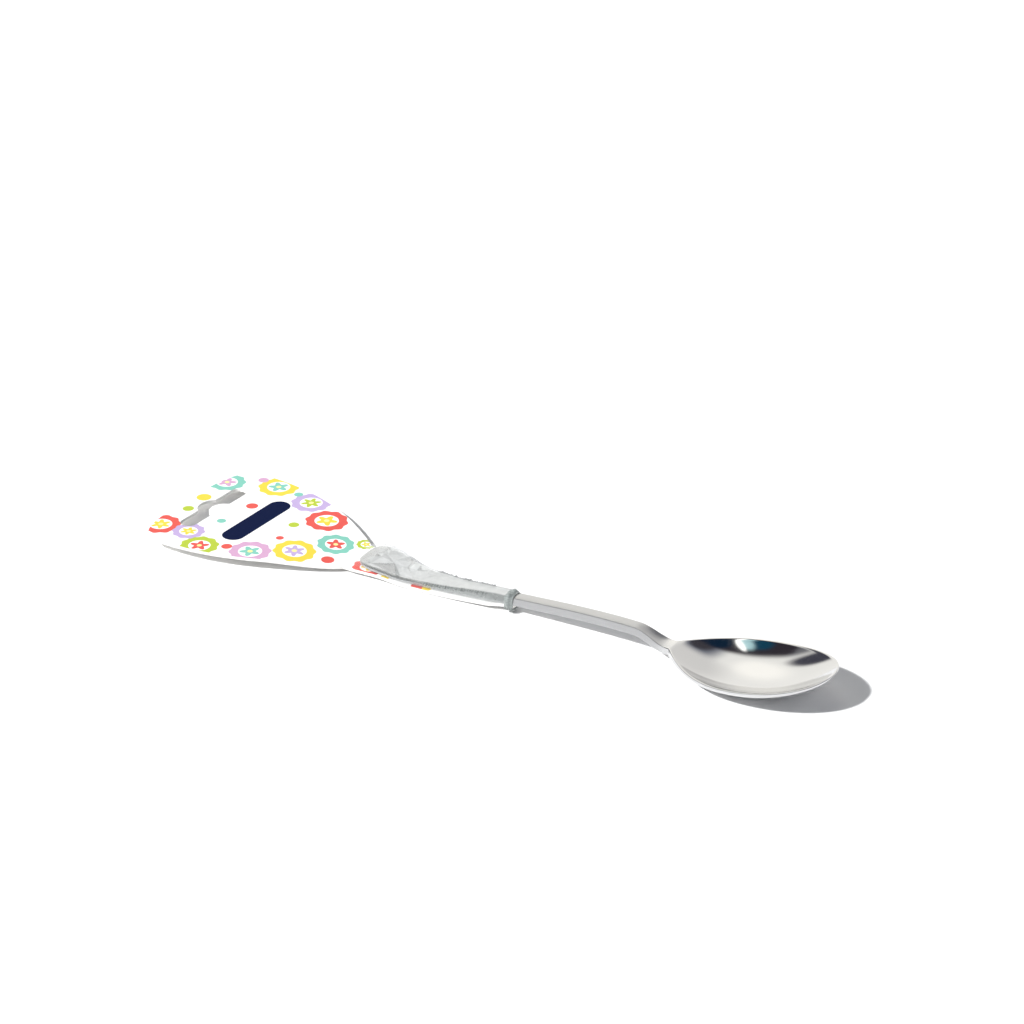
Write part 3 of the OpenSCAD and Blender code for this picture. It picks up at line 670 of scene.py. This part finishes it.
# End band
# The end of the tube, shrunk into a narrow gathered ring on the slim part of the handle, with pleats along it.
# The doubled film is cloudier than the sleeve, and its outer end is drawn in on the shaft.
BAND_T, BAND_SOFT, BAND_WALL, BAND_LEAST = 0.24, 0.7, 0.08, 0.06
BAND_BULGE, PLEAT_H, RIPPLE_H, RIPPLE_ALONG, RIPPLE_ROUND = 0.16, 0.2, 0.10, 9, 2.3
SHAFT_GAP, DRAW_POWER, DRAW_SHARE, DRAW_START, DRAW_LOW = 0.1, 3, 0.9, 0.45, (-1.7, -0.9)
# Each pleating: pitch in mm, lean along the band, start
PLEATS = [(0.62, 0.05, 0.4), (0.85, -0.08, 2.1), (1.4, 0.12, 4.4)]
band_x = np.linspace(BAND_X, TONGUE_LEN, 25)
points, normals, reach = wrap(band_x, FILM_GAP + FILM_T + FIT_GAP, BAND_SOFT)
along = between(BAND_X, TONGUE_LEN, band_x)[:, None]
pleat = sum(np.cos(2 * math.pi * (np.abs(reach) / pitch + lean * along * BAND_LEN) + start + (reach > 0))
            for pitch, lean, start in PLEATS) / len(PLEATS)
ripple = np.cos(RIPPLE_ALONG * along + RIPPLE_ROUND * reach)
bulge = BAND_T + BAND_BULGE * np.sin(math.pi * along) + PLEAT_H * pleat + RIPPLE_H * ripple
band_z = handle_under(band_x) + sheet_t(band_x) / 2
band_mid = np.stack([band_x - MIDDLE_X, 0 * band_x, band_z], axis=1)[:, None, :]
outer = points + np.maximum(bulge, BAND_LEAST)[:, :, None] * normals
for ring in (outer, points):
    away = ring - band_mid
    wide = np.abs(away[:, :, 1]) / (SHAFT_W / 2 + SHAFT_GAP)
    tall = np.abs(away[:, :, 2]) / (SHAFT_T / 2 + SHAFT_GAP)
    fit = (wide**DRAW_POWER + tall**DRAW_POWER) ** (1 / DRAW_POWER)
    drawn = ease(between(DRAW_START, 1, along)) * ease(between(*DRAW_LOW, away[:, :, 2]))
    ring += away * ((1 / fit - 1) * drawn * DRAW_SHARE)[:, :, None]
outer += BAND_WALL * normals
band_rings = np.concatenate([outer, points[::-1]])
band_mesh = skin("end_band_gathered", band_rings, closed=True)

# Gathered film: the same film in several layers, half clear and glossy on its folds; its dark and light grey-green
# streaks along the band are painted shade and reflection of the folds.
gathered, tree = blank_material("gathered_shrink_film")
place = add(tree, "ShaderNodeTexCoord")
streak = add(tree, "ShaderNodeMapping", {"Scale": (200.0, 2600.0, 2600.0)}, {"Vector": place.outputs["Object"]})
layers = add(tree, "ShaderNodeTexNoise", {"Scale": 1.0, "Detail": 3.0}, {"Vector": streak.outputs["Vector"]})
# Painted shade and reflection: streaks of dark and light grey-green along the folds
tone = add(tree, "ShaderNodeMix", {"A": paint("#646c69"), "B": paint("#c2c8c6")},
           {"Factor": layers.outputs["Fac"]}, data_type="RGBA")
gloss = add(tree, "ShaderNodeBsdfPrincipled", {"Roughness": 0.22, "IOR": 1.5, "Alpha": 0.72},
            {"Base Color": tone.outputs["Result"]})
add(tree, "ShaderNodeOutputMaterial", links={"Surface": gloss.outputs["BSDF"]})

band = piece_of("end_band_gathered", band_mesh, gathered)
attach(band, "packed_spoon")
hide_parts("end_band")


# Studio
# A white floor, one hard lamp from the front left, and a room with a pale backdrop behind and a dark ceiling.
# The lamp lights and casts the shadows; the steel mirrors a soft patch of the room in its place.
floor_mesh = bpy.data.meshes.new("floor")
floor_mesh.from_pydata([(-4, -4, 0), (4, -4, 0), (4, 4, 0), (-4, 4, 0)], [], [(0, 1, 2, 3)])
paper, tree = blank_material("floor_paper")
face = add(tree, "ShaderNodeBsdfPrincipled",
           {"Base Color": paint("#fcfcfc"), "Roughness": 0.9, "Specular IOR Level": 0.0})
add(tree, "ShaderNodeOutputMaterial", links={"Surface": face.outputs["BSDF"]})
floor = piece_of("floor", floor_mesh, paper)

LAMP_WAY = Vector((0.517, 0.938, -1.0))
lamp = bpy.data.lights.new("key_lamp", "SUN")
lamp.energy = 4.4
lamp.angle = math.radians(4)
key = bpy.data.objects.new("key_lamp", lamp)
key.rotation_mode = "QUATERNION"
key.rotation_quaternion = LAMP_WAY.to_track_quat("-Z", "Y")
key.visible_glossy = False
bpy.context.scene.collection.objects.link(key)

# The room as the polished bowl shows it: a broad cream backdrop, a dark ceiling, a pale strip with teal edges.
# Directions are read from above, as the x and y of the way to them.
room = bpy.data.worlds.new("studio_room")
room.use_nodes = True
room.node_tree.nodes.clear()
tree = room.node_tree
way = add(tree, "ShaderNodeTexCoord")
plan = add(tree, "ShaderNodeVectorMath", {1: (1, 1, 0)}, {0: way.outputs["Generated"]}, operation="MULTIPLY")
# The backdrop ends along two soft straight edges, its top and its right side: way across, place, softness
BACKDROP_EDGES = [((-0.227, 0.974), 0.31, 0.07), ((-1.0, 0.0), 0.1, 0.09)]
backdrop = None
for (x, y), offset, soft in BACKDROP_EDGES:
    far = add(tree, "ShaderNodeVectorMath", {1: (x, y, 0)}, {0: plan.outputs["Vector"]}, operation="DOT_PRODUCT")
    side = add(tree, "ShaderNodeMapRange", {"From Min": offset - soft, "From Max": offset + soft},
               {"Value": far.outputs["Value"]}, interpolation_type="SMOOTHSTEP")
    if backdrop is not None:
        side = add(tree, "ShaderNodeMath", links={0: side.outputs[0], 1: backdrop}, operation="MULTIPLY")
    backdrop = side.outputs[0]
# Each patch: middle, half sizes, turn in degrees, softness of its edge, light. Later ones lie over earlier ones,
# and the one without a middle is the backdrop.
ROOM_LIGHT = (0.25, 0.27, 0.33)
PATCHES = [
    ((0.30, -0.85), (1.10, 0.75), 0, 0.6, (0.10, 0.11, 0.13)),
    ((0.19, 0.38), (0.21, 0.32), 0, 0.35, (0.07, 0.065, 0.08)),
    ((-0.27, 0.03), (0.50, 0.27), 8, 0.35, (0.05, 0.042, 0.055)),
    ((-0.80, 0.08), (0.12, 0.14), 0, 0.5, (0.26, 0.26, 0.28)),
    (None, None, 0, 0, (1.44, 1.42, 1.36)),
    ((-0.48, 0.54), (0.18, 0.20), 0, 0.9, (1.74, 1.70, 1.60)),
    ((-0.02, 0.90), (0.30, 0.28), 0, 0.8, (1.10, 1.08, 1.05)),
    ((-0.85, 0.31), (0.19, 0.14), 0, 0.6, (0.09, 0.09, 0.12)),
    ((-0.37, -0.06), (0.13, 0.12), 0, 0.7, (0.008, 0.082, 0.153)),
    ((0.02, 0.12), (0.10, 0.17), 0, 0.6, (0.0055, 0.026, 0.062)),
    ((-0.215, -0.02), (0.075, 0.14), 40, 0.9, (0.75, 1.15, 1.20)),
    ((-0.16, 0.03), (0.04, 0.16), 40, 0.5, (2.6, 2.6, 2.5)),
    ((-0.35, -0.64), (0.12, 0.12), 0, 0.6, (2.3, 2.3, 2.25)),
]
seen = None
for middle, halves, degrees, soft, tone in PATCHES:
    within = backdrop
    if middle:
        turned = add(tree, "ShaderNodeMapping",
                     {"Location": (*middle, 0), "Rotation": (0, 0, math.radians(degrees)), "Scale": (*halves, 1)},
                     {"Vector": plan.outputs["Vector"]}, vector_type="TEXTURE")
        away = add(tree, "ShaderNodeVectorMath", links={0: turned.outputs["Vector"]}, operation="LENGTH")
        inner = add(tree, "ShaderNodeMapRange", {"From Min": 1.0 + soft / 2, "From Max": 1.0 - soft / 2},
                    {"Value": away.outputs["Value"]}, interpolation_type="SMOOTHSTEP")
        within = inner.outputs["Result"]
    layer = add(tree, "ShaderNodeMix", {"A": (*ROOM_LIGHT, 1.0), "B": (*tone, 1.0)}, {"Factor": within},
                data_type="RGBA")
    if seen is not None:
        tree.links.new(seen, layer.inputs["A"])
    seen = layer.outputs["Result"]
light = add(tree, "ShaderNodeBackground", {"Strength": 0.83}, {"Color": seen})
add(tree, "ShaderNodeOutputWorld", links={"Surface": light.outputs["Background"]})
bpy.context.scene.world = room
bpy.context.scene.view_settings.view_transform = "Standard"

CAMERA_AZIMUTH, CAMERA_ELEVATION = math.radians(32.321), math.radians(27.505)
CAMERA_AIM, CAMERA_DISTANCE = Vector((-0.02328, 0.04727, 0.0)), 0.82423
camera_back = Vector((math.sin(CAMERA_AZIMUTH) * math.cos(CAMERA_ELEVATION),
                      -math.cos(CAMERA_AZIMUTH) * math.cos(CAMERA_ELEVATION), math.sin(CAMERA_ELEVATION)))
camera_data = bpy.data.cameras.new("camera")
camera_data.lens = 103.73
camera_data.sensor_width = 36.0
camera = bpy.data.objects.new("camera", camera_data)
camera.location = CAMERA_AIM + camera_back * CAMERA_DISTANCE
camera.rotation_mode = "QUATERNION"
camera.rotation_quaternion = (-camera_back).to_track_quat("-Z", "Y")
bpy.context.scene.collection.objects.link(camera)
bpy.context.scene.camera = camera
